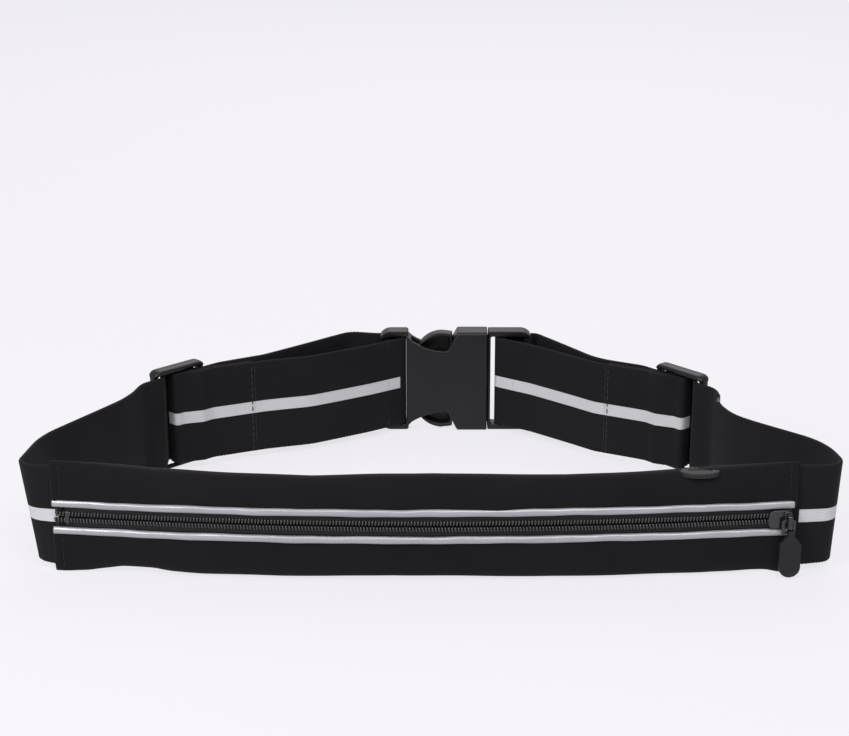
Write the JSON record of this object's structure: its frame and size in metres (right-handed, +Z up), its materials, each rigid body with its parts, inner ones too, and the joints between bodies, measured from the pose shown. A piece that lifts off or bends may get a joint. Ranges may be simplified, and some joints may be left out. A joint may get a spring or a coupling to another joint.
{
  "type": "waist pack",
  "caption": "Slim elastic running belt: a zipped stretch pouch with reflective piping, elastic straps, sliding adjusters and a side-release buckle at the back.",
  "frame": {"origin": "on the ground under the middle of the closed belt, which stands on its lower edge", "axes": "+X along the pouch towards the zip slider's end, +Y from the pouch to the buckle, +Z up"},
  "size_m": [0.3085, 0.1767, 0.046],
  "materials": {
    "stretch_fabric": "matt black stretch knit",
    "webbing": "black elastic webbing with a silver reflective stripe",
    "reflective": "silver reflective piping",
    "zip_tape": "black woven tape",
    "zip_coil": "black nylon coil",
    "slider_black": "gloss black painted zinc",
    "rubber_black": "matt black rubber",
    "rubber_grey": "matt dark grey rubber",
    "buckle_plastic": "satin black acetal"
  },
  "bodies": {
    "belt": {"pouch_fabric": "stretch_fabric", "end_hem_left": "stretch_fabric", "end_hem_right": "stretch_fabric", "earphone_port": "rubber_grey", "zip_tape_upper": "zip_tape", "zip_tape_lower": "zip_tape", "zip_coil_upper": "zip_coil", "zip_coil_lower": "zip_coil", "zip_end_stop": "zip_coil", "piping_upper": "reflective", "piping_lower": "reflective", "webbing_left_side": "webbing", "webbing_left_outer": "webbing", "webbing_left_inner": "webbing", "webbing_right_side": "webbing", "buckle_socket": "buckle_plastic"},
    "slider": {"zip_slider": "slider_black"},
    "link": {"pull_link": "slider_black"},
    "tab": {"pull_tab": "rubber_black"},
    "left_adjuster": {"adjuster_left": "buckle_plastic", "webbing_left_weave": "webbing", "webbing_left_sewn_end": "webbing"},
    "plug_half": {"buckle_plug": "buckle_plastic", "webbing_right_outer": "webbing", "webbing_right_inner": "webbing"},
    "right_adjuster": {"adjuster_right": "buckle_plastic", "webbing_right_weave": "webbing", "webbing_right_sewn_end": "webbing"},
    "arm_upper": {"latch_arm_upper": "buckle_plastic"},
    "arm_lower": {"latch_arm_lower": "buckle_plastic"}
  },
  "joints": [
    {"name": "zip_travel", "type": "hinge", "parent": "belt", "child": "slider", "pos_m": [0, 0.912, 0.023], "axis": [0, 0, 1], "range_deg": [-14.8, 0]},
    {"name": "pull_link_swing", "type": "hinge", "parent": "slider", "child": "link", "pos_m": [0.13189, -0.08224, 0.023], "axis": [-0.9913, -0.1315, 0], "range_deg": [0, 95]},
    {"name": "pull_tab_swing", "type": "hinge", "parent": "link", "child": "tab", "pos_m": [0.13189, -0.08224, 0.018], "axis": [-0.9913, -0.1315, 0], "range_deg": [0, 80]},
    {"name": "adjuster_left_slide", "type": "slide", "parent": "belt", "child": "left_adjuster", "axis": [0.7193, 0.6947, 0], "range_m": [-0.008, 0.008], "deforming": ["webbing_left_weave", "webbing_left_sewn_end", "webbing_left_inner"]},
    {"name": "buckle_release", "type": "slide", "parent": "belt", "child": "plug_half", "axis": [1, 0, 0], "range_m": [0, 0.036], "deforming": ["webbing_right_side", "latch_arm_upper", "latch_arm_lower"]},
    {"name": "latch_upper_press", "type": "hinge", "parent": "plug_half", "child": "arm_upper", "pos_m": [0.022, 0.082, 0.0316], "axis": [0, -1, 0], "range_deg": [0, 10], "stiffness_Nm_per_rad": 0.25},
    {"name": "latch_lower_press", "type": "hinge", "parent": "plug_half", "child": "arm_lower", "pos_m": [0.022, 0.082, 0.0144], "axis": [0, 1, 0], "range_deg": [0, 10], "stiffness_Nm_per_rad": 0.25},
    {"name": "adjuster_right_slide", "type": "slide", "parent": "plug_half", "child": "right_adjuster", "axis": [-0.6691, 0.7431, 0], "range_m": [-0.008, 0.008], "deforming": ["webbing_right_weave", "webbing_right_sewn_end", "webbing_right_inner"]}
  ]
}
